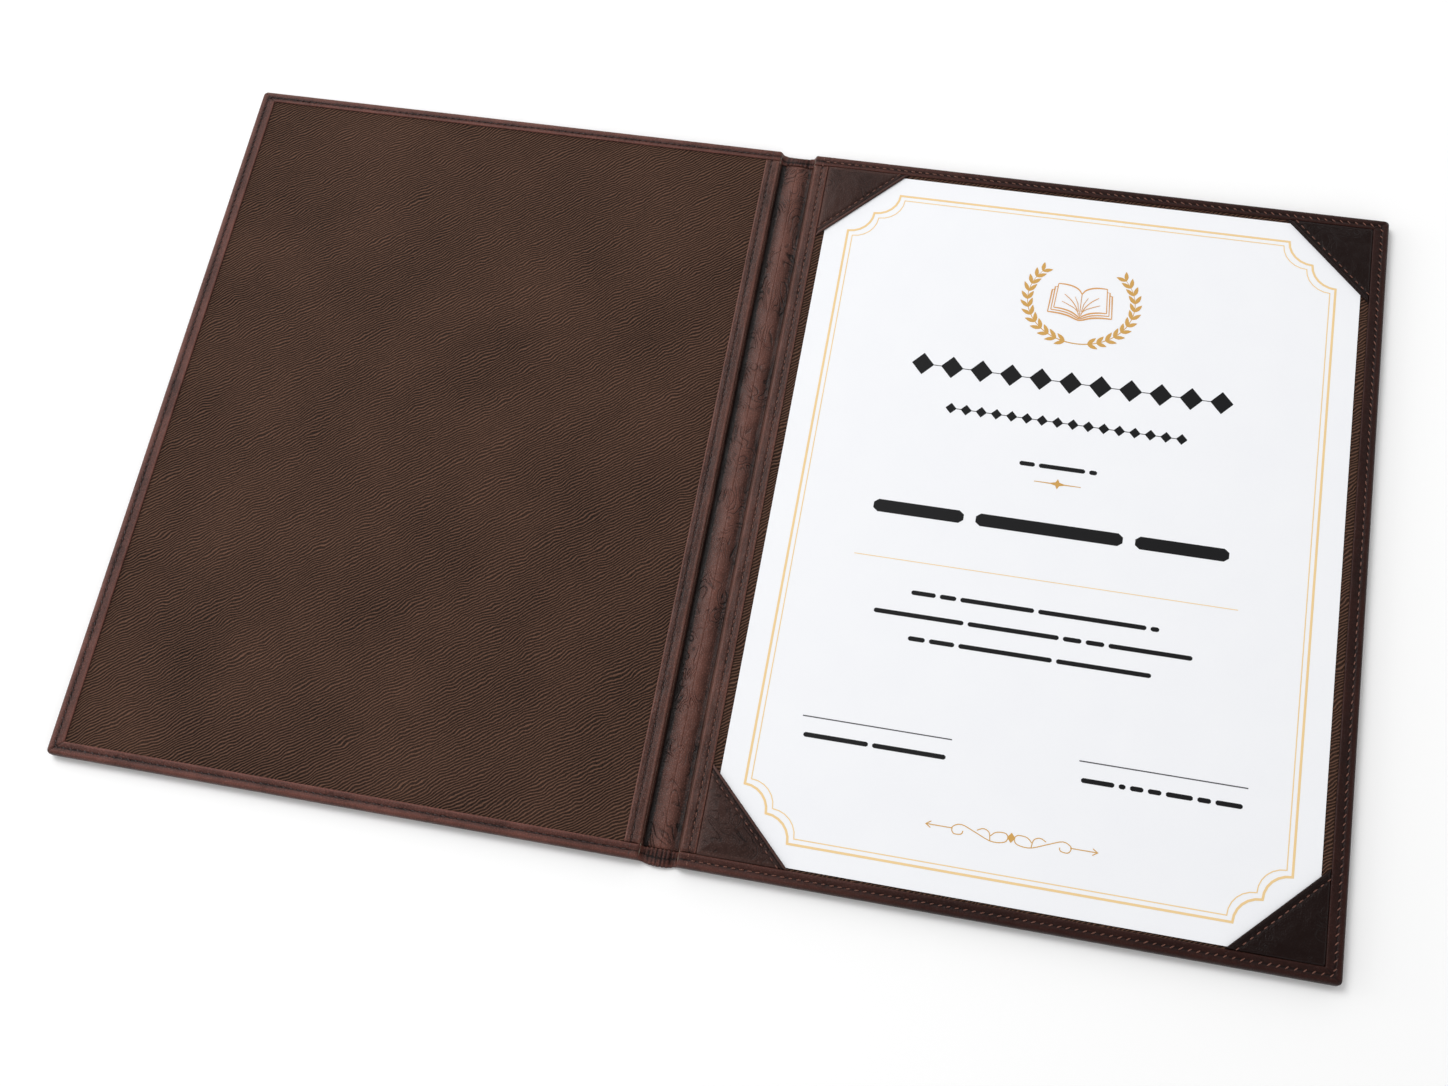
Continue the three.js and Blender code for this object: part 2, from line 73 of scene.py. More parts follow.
lens = bpy.data.cameras.new("cover_camera")
lens.lens = LENS_LENGTH
lens.sensor_width = SENSOR_WIDTH
lens.clip_start = 0.01
camera = bpy.data.objects.new("cover_camera", lens)
level = (CAMERA_AIM - CAMERA_SPOT).to_track_quat("-Z", "Y")
camera.rotation_mode = "QUATERNION"
camera.rotation_quaternion = level @ Quaternion((0, 0, 1), CAMERA_ROLL)
camera.location = CAMERA_SPOT
bpy.context.scene.collection.objects.link(camera)
bpy.context.scene.camera = camera
print("camera looks along", camera.rotation_quaternion @ Vector((0, 0, -1)))

# %% [markdown]
# ## Small tools for node trees
# Every finish below is a tree of nodes. One helper adds a node and fills its sockets, from numbers
# or from other nodes, so that each finish reads like a recipe. Colours are written as they look on a
# screen, from 0 to 255, and Blender wants them as amounts of light.

# %% Node helpers
def add_node(tree, kind, sockets=None, **settings):
    node = tree.nodes.new(kind)
    for name, value in settings.items():
        setattr(node, name, value)
    for key, value in (sockets or {}).items():
        if isinstance(value, bpy.types.NodeSocket):
            tree.links.new(value, node.inputs[key])
        else:
            node.inputs[key].default_value = value
    return node


def maths(tree, operation, first, second=0.0, clamp=False):
    node = add_node(tree, "ShaderNodeMath", {0: first, 1: second}, operation=operation, use_clamp=clamp)
    return node.outputs[0]


def ramp(tree, value, low, high, out_low=0.0, out_high=1.0):
    sockets = {"Value": value, "From Min": low, "From Max": high, "To Min": out_low, "To Max": out_high}
    return add_node(tree, "ShaderNodeMapRange", sockets, interpolation_type="SMOOTHSTEP").outputs[0]


def mix_colours(tree, factor, first, second):
    node = add_node(tree, "ShaderNodeMix", {0: factor, 6: first, 7: second}, data_type="RGBA")
    return node.outputs[2]


def screen_colour(red, green, blue):
    def light(value):
        part = value / 255
        return part / 12.92 if part <= 0.04045 else ((part + 0.055) / 1.055) ** 2.4
    return (light(red), light(green), light(blue), 1.0)


def start_finish(name):
    finish = bpy.data.materials.new(name)
    finish.use_nodes = True
    tree = finish.node_tree
    shader = tree.nodes["Principled BSDF"]
    place = add_node(tree, "ShaderNodeTexCoord").outputs["Object"]
    return finish, tree, shader, place


def speckle(tree, place, per_metre, detail=3.0, stretch=(1, 1, 1)):
    where = add_node(tree, "ShaderNodeMapping", {"Vector": place, "Scale": stretch}).outputs[0]
    sockets = {"Vector": where, "Scale": per_metre, "Detail": detail}
    return add_node(tree, "ShaderNodeTexNoise", sockets).outputs[0]


def shifted(tree, place, per_metre, amount):
    """Bend a place by soft coloured noise, up to the given amount in metres."""
    colour = add_node(tree, "ShaderNodeTexNoise", {"Vector": place, "Scale": per_metre}).outputs["Color"]
    shift = add_node(tree, "ShaderNodeVectorMath", {0: colour, "Scale": amount}, operation="SCALE")
    return add_node(tree, "ShaderNodeVectorMath", {0: place, 1: shift.outputs[0]}, operation="ADD").outputs[0]


def raise_surface(tree, shader, height_mm):
    bump = add_node(tree, "ShaderNodeBump", {"Height": height_mm, "Distance": MM, "Strength": 1.0})
    tree.links.new(bump.outputs[0], shader.inputs["Normal"])


# %% [markdown]
# ## Floor and light
# The cover lies on a plain white table. A large soft lamp stands up and to the left, as in the
# photograph, so the left faces are bright, the right ones are dark, and the shadow is thin and falls
# below and to the right. The world is white near the horizon, as pale studio walls are, and dim
# overhead, so that the dark leather doesn't turn grey.

# %% Floor and lights
FLOOR_HALF = 6.0
FLOOR_LEVEL = -0.0002
HORIZON_LIGHT = 1.6
OVERHEAD_LIGHT = 0.1

floor_mesh = bpy.data.meshes.new("table_top")
floor_mesh.from_pydata(
    [(x * FLOOR_HALF, y * FLOOR_HALF, FLOOR_LEVEL) for x, y in ((-1, -1), (1, -1), (1, 1), (-1, 1))],
    [], [(0, 1, 2, 3)])
floor = bpy.data.objects.new("table_top", floor_mesh)
bpy.context.scene.collection.objects.link(floor)
floor_finish, _, shader, _ = start_finish("table_white")
shader.inputs["Base Color"].default_value = (1.0, 1.0, 1.0, 1)
shader.inputs["Roughness"].default_value = 0.9
floor_mesh.materials.append(floor_finish)


def add_lamp(name, spot, aim, size, watts):
    data = bpy.data.lights.new(name, "AREA")
    data.shape = "SQUARE"
    data.size = size
    data.energy = watts
    lamp = bpy.data.objects.new(name, data)
    lamp.location = spot
    lamp.rotation_mode = "QUATERNION"
    lamp.rotation_quaternion = (Vector(aim) - Vector(spot)).to_track_quat("-Z", "Y")
    bpy.context.scene.collection.objects.link(lamp)


add_lamp("window_softbox", (-1.05, 0.80, 1.95), (0, 0, 0), 1.2, 30)
add_lamp("low_strip_light", (-1.4, 0.1, 0.45), (0, 0, 0), 0.6, 3.5)
world = bpy.data.worlds.new("studio")
world.use_nodes = True
background = world.node_tree.nodes["Background"]
direction = add_node(world.node_tree, "ShaderNodeTexCoord").outputs["Generated"]
upwards = add_node(world.node_tree, "ShaderNodeSeparateXYZ", {0: direction}).outputs[2]
brightness = add_node(world.node_tree, "ShaderNodeMapRange",
                      {"Value": upwards, "To Min": HORIZON_LIGHT, "To Max": OVERHEAD_LIGHT})
world.node_tree.links.new(brightness.outputs[0], background.inputs[1])
background.inputs[0].default_value = (1, 1, 1, 1)
bpy.context.scene.world = world
bpy.context.scene.view_settings.view_transform = "Standard"
print("two lamps, and a world that is bright at the horizon and dim above")

# %% [markdown]
# ## Leatherette
# Leatherette is a plastic skin pressed with a leather grain: small pebbles about a millimetre wide,
# finer pores between them, and creases where it is pulled round a bend. Where it is rubbed or
# stretched it turns lighter and redder. The pebbles are Voronoi cells. The creases are the height
# lines of a soft noise, like those on a map, so they swirl and close on themselves, and they darken
# the colour as painted shade. They come in patches, and on the spine they keep to its swell. An
# attribute called wear_and_painted_light, kept on each mesh, carries rub wear together with painted
# highlights on edges and swells and painted shade in grooves, seams and side walls. The colour also
# runs darker from left to right, a painted shade. All heights are in millimetres.

# %% Leatherette finish
PEBBLES_PER_METRE = 1150.0
CREASE_HILLS = 95.0
CREASE_LINES = 12.0


def pebble_pattern(tree, place):
    soft_place = shifted(tree, place, 420, 0.0009)
    cells = add_node(tree, "ShaderNodeTexVoronoi", {"Vector": soft_place, "Scale": PEBBLES_PER_METRE},
                     feature="DISTANCE_TO_EDGE").outputs["Distance"]
    return ramp(tree, cells, 0.0, 0.35)


def crease_pattern(tree, place, across, stretch, reach):
    pulled = add_node(tree, "ShaderNodeMapping", {"Vector": place, "Scale": stretch}).outputs[0]
    hills = add_node(tree, "ShaderNodeTexNoise", {"Vector": pulled, "Scale": CREASE_HILLS, "Detail": 1.2,
                                                  "Distortion": 0.9}).outputs["Fac"]
    swirl = maths(tree, "PINGPONG", maths(tree, "MULTIPLY", hills, CREASE_LINES), 0.5)
    line = ramp(tree, swirl, 0.0, 0.22, 1.0, 0.0)
    patch = ramp(tree, speckle(tree, place, 75, 2.0), 0.42, 0.58)
    near = ramp(tree, maths(tree, "ABSOLUTE", across), reach, reach + 0.002, 1.0, 0.2)
    return maths(tree, "MULTIPLY", maths(tree, "MULTIPLY", line, patch), near)


def leatherette(name, dark, light, light_in_painted_shade, crease_depth, crease_stretch, crease_reach, roughness, gloss):
    finish, tree, shader, place = start_finish(name)
    across = add_node(tree, "ShaderNodeSeparateXYZ", {0: place}).outputs[0]
    # Painted shade: the colour runs from the light tone on the left to a darker tone on the right, as if lit
    # by the lamp at the left.
    tone_with_painted_side_shade = mix_colours(tree, ramp(tree, across, -0.08, 0.14), light, light_in_painted_shade)
    slow = speckle(tree, place, 45, 3.0)
    fine = speckle(tree, place, 2600, 2.0)
    pebble = pebble_pattern(tree, place)
    crease = crease_pattern(tree, place, across, crease_stretch, crease_reach)
    # wear_and_painted_light carries rub wear and painted light from each mesh: painted highlights raise it,
    # painted shade lowers it.
    wear_and_painted_light = add_node(tree, "ShaderNodeAttribute", attribute_name="wear_and_painted_light").outputs["Fac"]

    lit = maths(tree, "ADD", maths(tree, "MULTIPLY", pebble, 0.22), maths(tree, "MULTIPLY", slow, 0.42))
    lit = maths(tree, "ADD", lit, maths(tree, "MULTIPLY", wear_and_painted_light, 0.75))
    # Painted shade: the creases darken the colour as well as sinking the surface.
    painted_crease_shade = maths(tree, "MULTIPLY", crease, 2.4 * crease_depth)
    lit = maths(tree, "SUBTRACT", lit, painted_crease_shade, clamp=True)
    tree.links.new(mix_colours(tree, lit, dark, tone_with_painted_side_shade), shader.inputs["Base Color"])
    rough = maths(tree, "ADD", roughness - 0.08, maths(tree, "MULTIPLY", fine, 0.18))
    rough = maths(tree, "SUBTRACT", rough, maths(tree, "MULTIPLY", wear_and_painted_light, 0.06))
    tree.links.new(rough, shader.inputs["Roughness"])
    shader.inputs["Specular IOR Level"].default_value = gloss

    height = maths(tree, "MULTIPLY", pebble, 0.055)
    height = maths(tree, "ADD", height, maths(tree, "MULTIPLY", fine, 0.04))
    height = maths(tree, "SUBTRACT", height, maths(tree, "MULTIPLY", crease, crease_depth))
    raise_surface(tree, shader, height)
    return finish


EVERYWHERE = 1.0
ON_THE_SWELL = 0.0055
# The third colour of each leatherette is its tone on the right, darkened as painted shade; the pockets get
# the deepest painted shade.
cover_leather = leatherette(
    "cover_leatherette", screen_colour(22, 8, 6), screen_colour(130, 82, 72), screen_colour(60, 30, 24),
    0.04, (1, 1, 1), EVERYWHERE, 0.44, 0.16)
spine_leather = leatherette(
    "spine_leatherette", screen_colour(18, 7, 5), screen_colour(134, 88, 76), screen_colour(108, 66, 56),
    0.13, (1.25, 0.7, 1), ON_THE_SWELL, 0.38, 0.2)
pocket_leather = leatherette(
    "pocket_leatherette", screen_colour(20, 8, 6), screen_colour(112, 80, 72), screen_colour(28, 12, 9),
    0.1, (1, 1, 1), EVERYWHERE, 0.42, 0.14)
print("three tones of leatherette")

# %% [markdown]
# ## Lining, paper, print, thread and board
# The lining is a dark brown book cloth with fine ribs that waver, so a wave pattern is bent by noise.
# Paper is almost flat white with the faintest tooth. Gold and black ink lie on it, a little glossier.
# Waxed thread is twisted, which shows as slanting bands.

# %% Lining finish
RIB_TURN = math.radians(53)
RIB_SCALE = 280.0


def ribbed_cloth(name):
    finish, tree, shader, place = start_finish(name)
    bent = shifted(tree, place, 90, 0.0045)
    turned = add_node(tree, "ShaderNodeMapping", {"Vector": bent, "Rotation": (0, 0, RIB_TURN)}).outputs[0]
    ribs = add_node(tree, "ShaderNodeTexWave", {"Vector": turned, "Scale": RIB_SCALE, "Distortion": 3.0,
                                                "Detail": 2.2, "Detail Scale": 0.8}).outputs["Fac"]
    broken = speckle(tree, place, 900, 3.0)
    ridge = ramp(tree, ribs, 0.3, 0.95)
    rib = maths(tree, "MULTIPLY", ridge, ramp(tree, broken, 0.2, 0.6, 0.6, 1.0))
    slow = speckle(tree, place, 24, 3.0)
    lit = maths(tree, "ADD", maths(tree, "MULTIPLY", rib, 0.75), maths(tree, "MULTIPLY", slow, 0.30))
    fibres = speckle(tree, place, 1700, 2.0)
    fluff = maths(tree, "MULTIPLY", maths(tree, "SUBTRACT", fibres, 0.5), 0.5)
    lit = maths(tree, "ADD", lit, fluff, clamp=True)
    colour = mix_colours(tree, lit, screen_colour(9, 4, 2), screen_colour(106, 76, 61))
    tree.links.new(colour, shader.inputs["Base Color"])
    shader.inputs["Roughness"].default_value = 0.78
    shader.inputs["Specular IOR Level"].default_value = 0.12
    height = maths(tree, "ADD", maths(tree, "MULTIPLY", rib, 0.26), maths(tree, "MULTIPLY", fibres, 0.05))
    raise_surface(tree, shader, height)
    return finish


lining_cloth = ribbed_cloth("lining_book_cloth")
print("ribbed cloth:", lining_cloth.name)

# %% Paper, print, thread and board finishes
def printed_surface(name, colour, second, roughness, tooth_mm, grain=900):
    finish, tree, shader, place = start_finish(name)
    mottle = speckle(tree, place, 60, 4.0)
    fibres = speckle(tree, place, grain, 4.0, (1, 2.5, 1))
    amount = maths(tree, "ADD", maths(tree, "MULTIPLY", mottle, 0.6), maths(tree, "MULTIPLY", fibres, 0.4))
    mixed = mix_colours(tree, amount, screen_colour(*colour), screen_colour(*second))
    tree.links.new(mixed, shader.inputs["Base Color"])
    rough = ramp(tree, fibres, 0.3, 0.7, roughness - 0.05, roughness + 0.05)
    tree.links.new(rough, shader.inputs["Roughness"])
    shader.inputs["Specular IOR Level"].default_value = 0.2
    raise_surface(tree, shader, maths(tree, "MULTIPLY", fibres, tooth_mm))
    return finish


INK_TOOTH = 0.01
INK_ROUGHNESS = 0.5
certificate_paper = printed_surface("certificate_paper", (238, 239, 243), (244, 245, 247), 0.72, 0.012)
gold_ink = printed_surface("gold_ink", (196, 148, 74), (216, 172, 100), INK_ROUGHNESS, INK_TOOTH)
pale_gold_ink = printed_surface("pale_gold_ink", (232, 198, 142), (240, 210, 158), INK_ROUGHNESS, INK_TOOTH)
black_ink = printed_surface("black_ink", (12, 12, 14), (20, 20, 22), INK_ROUGHNESS, INK_TOOTH)
grey_ink = printed_surface("grey_ink", (70, 70, 74), (88, 88, 92), INK_ROUGHNESS, INK_TOOTH)
grey_board = printed_surface("grey_board", (132, 122, 110), (150, 140, 126), 0.85, 0.06, 400)


def waxed_thread(name):
    finish, tree, shader, place = start_finish(name)
    twist = add_node(tree, "ShaderNodeTexWave", {"Vector": place, "Scale": 900.0, "Distortion": 1.0},
                     bands_direction="DIAGONAL").outputs["Fac"]
    across = add_node(tree, "ShaderNodeSeparateXYZ", {0: place}).outputs[0]
    # Painted light and shade: the thread is darker on the left cover and lighter on the right.
    side = ramp(tree, across, -0.02, 0.02)
    dark = mix_colours(tree, side, screen_colour(24, 11, 9), screen_colour(64, 32, 25))
    light = mix_colours(tree, side, screen_colour(58, 30, 25), screen_colour(136, 86, 68))
    tree.links.new(mix_colours(tree, twist, dark, light), shader.inputs["Base Color"])
    shader.inputs["Roughness"].default_value = 0.5
    raise_surface(tree, shader, maths(tree, "MULTIPLY", twist, 0.05))
    return finish


thread_finish = waxed_thread("waxed_thread")
print("finishes:", [m.name for m in bpy.data.materials if m.node_tree and len(m.node_tree.nodes) > 4])

# %% [markdown]
# ## Sizes of the cover
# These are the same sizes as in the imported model, with the middle of the spine as zero. The top
# surface is low over the spine, swells over the soft pad, and climbs the inner edge of each board.

# %% Sizes and shared shapes
HALF_WIDTH = 242.2
HALF_HEIGHT = 152.2
LIP_FORE = 236.0
LIP_HEAD = 147.4
LIP_TAIL = -146.7
LIP_TOP = 4.7
WEB_TOP = 1.2
LINING_TOP = 4.1
PAGE_TOP = 4.4
STRIP_EDGE = 13.45
STRIP_SEAM = 10.95
BORDER_SEAM = 2.9
STITCH_PITCH = 3.0
SKIN = 0.5


def smooth_step(low, high, value):
    part = min(1.0, max(0.0, (value - low) / (high - low)))
    return part * part * (3 - 2 * part)


def top_height(x):
    wall = smooth_step(6.1, 7.9, abs(x))
    pad_bulge = 0.8 * max(0.0, 1 - (x / 4.8) ** 2)
    return WEB_TOP + (LIP_TOP - WEB_TOP) * wall + pad_bulge


def ripple(x, y, size, seed):
    return noise.noise(Vector((x / size, y / size, seed)))


def stitch_pull(along):
    return 0.5 + 0.5 * math.cos(2 * math.pi * along / STITCH_PITCH)


def make_piece(name, points, faces, finish, wear_and_painted_light=None, mirrored=False, thickness=None):
    side = -1 if mirrored else 1
    mesh = bpy.data.meshes.new(name)
    mesh.from_pydata([(side * x * MM, y * MM, z * MM) for x, y, z in points], [],
                     [tuple(reversed(f)) for f in faces] if mirrored else faces)
    if wear_and_painted_light is not None:
        rubbed_and_lit = mesh.attributes.new("wear_and_painted_light", "FLOAT", "POINT")
        rubbed_and_lit.data.foreach_set("value", wear_and_painted_light)
    mesh.materials.append(finish)
    mesh.shade_smooth()
    piece = bpy.data.objects.new(name, mesh)
    bpy.context.scene.collection.objects.link(piece)
    if thickness:
        wall = piece.modifiers.new("skin thickness", "SOLIDIFY")
        wall.thickness = thickness * MM
        wall.offset = -1
        bake_modifiers(piece)
    print(name, len(piece.data.polygons), "faces")
    return piece


def bake_modifiers(piece):
    seen = piece.evaluated_get(bpy.context.evaluated_depsgraph_get())
    final = bpy.data.meshes.new_from_object(seen)
    piece.modifiers.clear()
    piece.data = final


# %% [markdown]
# ## The outer skin
# One sheet of leatherette wraps both boards and the spine. Its edge turns up round the boards and is
# sewn down inside as a border. Each half is swept as a cup: a flat underside, then rings that climb
# the edge, roll over the top, dip at the seam and end at the lining. The lines of the sweep fan out
# at the two outer corners, where the real sheet is mitred. Where the border crosses the spine it is
# gathered into small puckers, and at the foot the spine bulges out a little.

# %% Lines of the sweep, from the head of the spine round to its foot
CORNER_RADIUS = 1.8
NEAR_SPINE = 14.0
SPREAD_FROM = 200.0
INNER_CORNER = 1.2
CORNER_RUN = 3.0
CORNER_STEPS = [(-0.8, 0), (-0.4, 0), (0, 0), (0, 0.4), (0, 0.8)]
MITRE_STEP = 2
HEAD_CORNER_DEPTH = 5.5
TAIL_CORNER_DEPTH = 5.8


def corner_lines(steps, way, lip, depth, run):
    straight = HALF_WIDTH - CORNER_RADIUS
    lines = []
    for i, (dx, dy) in enumerate(steps):
        angle = math.radians(90 - 15 * (i + 1) if way > 0 else -15 * (i + 1))
        outer = (straight + CORNER_RADIUS * math.cos(angle),
                 way * (HALF_HEIGHT - CORNER_RADIUS) + CORNER_RADIUS * math.sin(angle))
        lines.append((outer, (LIP_FORE + dx, lip - way * dy), depth, run + 0.5 * i, i == MITRE_STEP))
    return lines


def border_lines():
    straight = HALF_WIDTH - CORNER_RADIUS
    count = 300
    steps = [i * 0.5 for i in range(29)]
    steps += [NEAR_SPINE + (straight - NEAR_SPINE) * i / count for i in range(1, count + 1)]
    stretch = (LIP_FORE - INNER_CORNER - SPREAD_FROM) / (straight - SPREAD_FROM)

    def inner_x(x):
        return x if x < SPREAD_FROM else SPREAD_FROM + (x - SPREAD_FROM) * stretch

    depth = HALF_HEIGHT - LIP_HEAD
    lines = [((x, HALF_HEIGHT), (inner_x(x), LIP_HEAD), depth, x, False) for x in steps]
    lines += corner_lines(CORNER_STEPS, 1, LIP_HEAD, HEAD_CORNER_DEPTH, straight)
    run = straight + CORNER_RUN
    top = HALF_HEIGHT - CORNER_RADIUS
    rows = 400
    inner_top = LIP_HEAD - INNER_CORNER
    inner_bottom = LIP_TAIL + INNER_CORNER
    for i in range(rows + 1):
        y = top - 2 * top * i / rows
        inner_y = inner_top + (inner_bottom - inner_top) * i / rows
        lines.append(((HALF_WIDTH, y), (LIP_FORE, inner_y), HALF_WIDTH - LIP_FORE, run + top - y, False))
    run += 2 * top
    lines += corner_lines(list(reversed(CORNER_STEPS)), -1, LIP_TAIL, TAIL_CORNER_DEPTH, run)
    run += CORNER_RUN
    depth = LIP_TAIL + HALF_HEIGHT
    lines += [((x, -HALF_HEIGHT), (inner_x(x), LIP_TAIL), depth, run + straight - x, False)
              for x in reversed(steps)]
    return lines


# %% One section of the sweep
def border_section(line):
    outer, inner, depth, along, mitre = line
    x = outer[0]
    height = top_height(x)
    pull = stitch_pull(along)
    near_spine = 1 - smooth_step(4.6, 6.4, x)
    foot = outer[1] < 0
    radius = min(1.3, 0.42 * height)
    bulge = near_spine * (0.9 if foot else -0.85) * (1 - (x / 6.4) ** 2)
    pleat = math.cos(2 * math.pi * (x + 0.9 * ripple(x, outer[1], 2.2, 6.4)) / 1.7)
    pucker = near_spine * (1.0 if foot else 0.8) * pleat * (0.8 + 0.9 * ripple(x, outer[1], 2.6, 1.3))
    wave = 0.10 * ripple(outer[0], outer[1], 7.0, 3.1)
    dip = (0.16 + 0.20 * pull) * (1 - 0.75 * near_spine)
    # The third number of each ring point is painted light: the rounded edges are painted lighter as painted
    # highlight together with rub wear, and the outer side wall, the seam dip and the inner wall under the lip
    # are painted darker as painted shade.
    ring = [(2.0, 0.0, 0.0), (radius, 0.0, 0.0)]
    arc = [math.radians(a) for a in (22.5, 45, 67.5, 90)]
    ring += [(radius * (1 - math.sin(a)), radius * (1 - math.cos(a)), -0.2) for a in arc]
    ring.append((-0.05 + 0.05 * pull, height * 0.5, -0.2))
    ring += [(radius * (1 - math.sin(a)), height - radius * (1 - math.cos(a)), 0.45 - 0.5 * math.sin(a))
             for a in reversed(arc)]
    ring.append((radius, height + wave, 0.35))
    ring.append((2.0, height + wave - 0.02, 0.1))
    ring.append((2.45, height + wave - 0.35 * dip, 0.0))
    ring.append((BORDER_SEAM - 0.18, height + wave - 0.9 * dip, -0.3))
    ring.append((BORDER_SEAM + 0.12, height + wave - dip, -0.35))
    ring.append((BORDER_SEAM + 0.45, height + wave - 0.5 * dip, 0.0))
    ring.append((depth - 1.0, height + 0.5 * wave + 0.02, 0.12))
    ring.append((depth - 0.5, height + 0.5 * wave + 0.03, 0.3))
    ring.append((depth - 0.2, height + 0.5 * wave - 0.04, 0.42))
    ring.append((depth - 0.04, height + 0.5 * wave - 0.2, 0.3))
    ring.append((depth, height - 0.42, 0.0))
    ring.append((depth, height - 0.68, -0.2))
    points = []
    ring_wear_and_light = []
    for number, (inset, z, wear_and_painted_light) in enumerate(ring):
        part = inset / depth
        on_top = number >= 9
        grown = bulge * (1 - smooth_step(0.4, 1.0, max(0.0, part)))
        px = outer[0] + (inner[0] - outer[0]) * part
        py = outer[1] + (inner[1] - outer[1]) * part
        py += (1 if outer[1] > 0 else -1) * grown
        if on_top:
            z += 0.34 * pucker * smooth_step(0.15, 0.9, part)
            py += (0.30 * pucker * smooth_step(0.75, 1.0, part)) * (1 if foot else -1)
            # Painted light and shade: puckers are lighter on their ridges and darker in their folds, and the
            # border is darker near the spine.
            wear_and_painted_light += 0.35 * pucker - 0.22 * near_spine
            # Painted shade: the mitre fold is painted darker as well as sunk.
            if mitre and inset > 0.3:
                z -= 0.28
                wear_and_painted_light -= 0.3
        elif number >= 2:
            py += 0.12 * pucker * (-1 if foot else 1)
        ring_wear_and_light.append(wear_and_painted_light + 0.12 * ripple(px, py, 5.0, 8.2))
        points.append((px, py, z))
    return points, ring_wear_and_light


# %% Both halves of the outer skin
def cover_skin(name, mirrored):
    sections = [border_section(line) for line in border_lines()]
    across = len(sections[0][0])
    points = [point for section, _ in sections for point in section]
    wear_and_painted_light = [value for _, section in sections for value in section]
    faces = []
    for i in range(len(sections) - 1):
        for k in range(across - 1):
            here = i * across + k
            there = here + across
            faces.append((here, here + 1, there + 1, there))
    last = len(sections) - 1
    near = 28
    for i in range(near):
        faces.append((i * across, (i + 1) * across, (last - i - 1) * across, (last - i) * across))
    faces.append(tuple(i * across for i in range(near, last - near + 1)))
    return make_piece(name, points, faces, cover_leather, wear_and_painted_light, mirrored, SKIN)


back_leather = cover_skin("back_leather", False)
front_leather = cover_skin("front_leather", True)
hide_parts("back_cover_skin", "spine_skin")
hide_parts("front_cover_skin")

# %% [markdown]
# ## The strip inside the spine
# A second piece of leatherette covers the spine from inside. It dips into a groove beside each board,
# climbs the board's edge and is sewn down on it. A grid of points follows that profile, row by row up
# the spine, with slow waves, a pull at each stitch, and a dip where it goes under the border.

# %% Both halves of the spine strip
def strip_profile():
    stops = [i * 0.4 for i in range(13)]
    stops += [5.2, 5.6, 5.9] + [6.1 + 0.15 * i for i in range(13)]
    stops += [8.2, 8.7, 9.2, 9.7, 10.1, 10.4, 10.6, 10.8, 10.95, 11.1, 11.3, 11.5, 11.8, 12.2, 12.6]
    profile = [(x, top_height(x), 0.0) for x in stops]
    # The third number is a painted highlight along the rounded edge of the strip.
    profile += [(12.95, 4.74, 0.3), (13.2, 4.70, 0.42), (13.38, 4.58, 0.35)]
    profile += [(STRIP_EDGE, 4.36, 0.1), (STRIP_EDGE, 4.0, 0.0)]
    return profile


def spine_strip_half(name, mirrored):
    profile = strip_profile()
    rows = 560
    bottom = LIP_TAIL + 0.05
    top = LIP_HEAD - 0.05
    side = -1 if mirrored else 1
    points = []
    wear_and_painted_light = []
    for row in range(rows + 1):
        y = bottom + (top - bottom) * row / rows
        pull = stitch_pull(y)
        tuck = 0.45 * (1 - smooth_step(0.0, 0.9, min(y - bottom, top - y)))
        for x, z, rubbed_and_lit in profile:
            real_x = side * x
            seam = max(0.0, 1 - abs(x - STRIP_SEAM) / 0.6)
            slow = 0.16 * ripple(real_x * 2.0, y, 7.0, 1.7) + 0.07 * ripple(real_x, y, 2.0, 5.5)
            slow *= smooth_step(0, 0.6, 13.45 - x)
            wall = smooth_step(5.6, 6.6, x) * (1 - smooth_step(7.6, 8.6, x))
            # Painted light: the crest of the swell and the shoulder on the board's edge are painted lighter,
            # the groove is painted darker as painted shade, deeper on the front cover's side, the stitch dips
            # are painted darker and the raised waves lighter.
            shoulder_highlight = max(0.0, 1 - abs(x - 8.1) / 0.7)
            crest_highlight = max(0.0, 1 - (x / 4.0) ** 2)
            points.append((x, y, z + slow * (1 - 0.7 * wall) - (0.14 + 0.16 * pull) * seam - tuck))
            groove_shade = 1 - smooth_step(0.4, 1.4, abs(x - 5.8))
            value = rubbed_and_lit + 0.35 * shoulder_highlight + 0.4 * crest_highlight - (0.6 if mirrored else 0.2) * groove_shade
            wear_and_painted_light.append(value - 0.45 * seam * (0.5 + 0.5 * pull) + 0.5 * slow)
    across = len(profile)
    faces = []
    for row in range(rows):
        for k in range(across - 1):
            here = row * across + k
            faces.append((here, here + 1, here + across + 1, here + across))
    return make_piece(name, points, faces, spine_leather, wear_and_painted_light, mirrored, SKIN)


back_strip = spine_strip_half("back_strip", False)
front_strip = spine_strip_half("front_strip", True)
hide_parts("back_spine_wing", "spine_strip")
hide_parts("front_spine_wing")

# %% [markdown]
# Both sheets cross the fold beside the spine. The hinge lies between the two planes, at 5.4 mm from
# the middle. Here each half only has its placement baked into its points.

# %% Bake the placement of the four sheets
for piece in (back_leather, back_strip):
    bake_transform(piece)
for piece in (front_leather, front_strip):
    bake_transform(piece)

# %% [markdown]
# ## Corner pockets
# Each pocket is a triangle of soft leatherette. Its long edge is folded over into a thin round hem
# and sewn 2.6 mm in. Behind the seam the skin puffs up, and at both legs it dives beside the border.
# Rows of points run parallel to the long edge, from the hem to the corner.

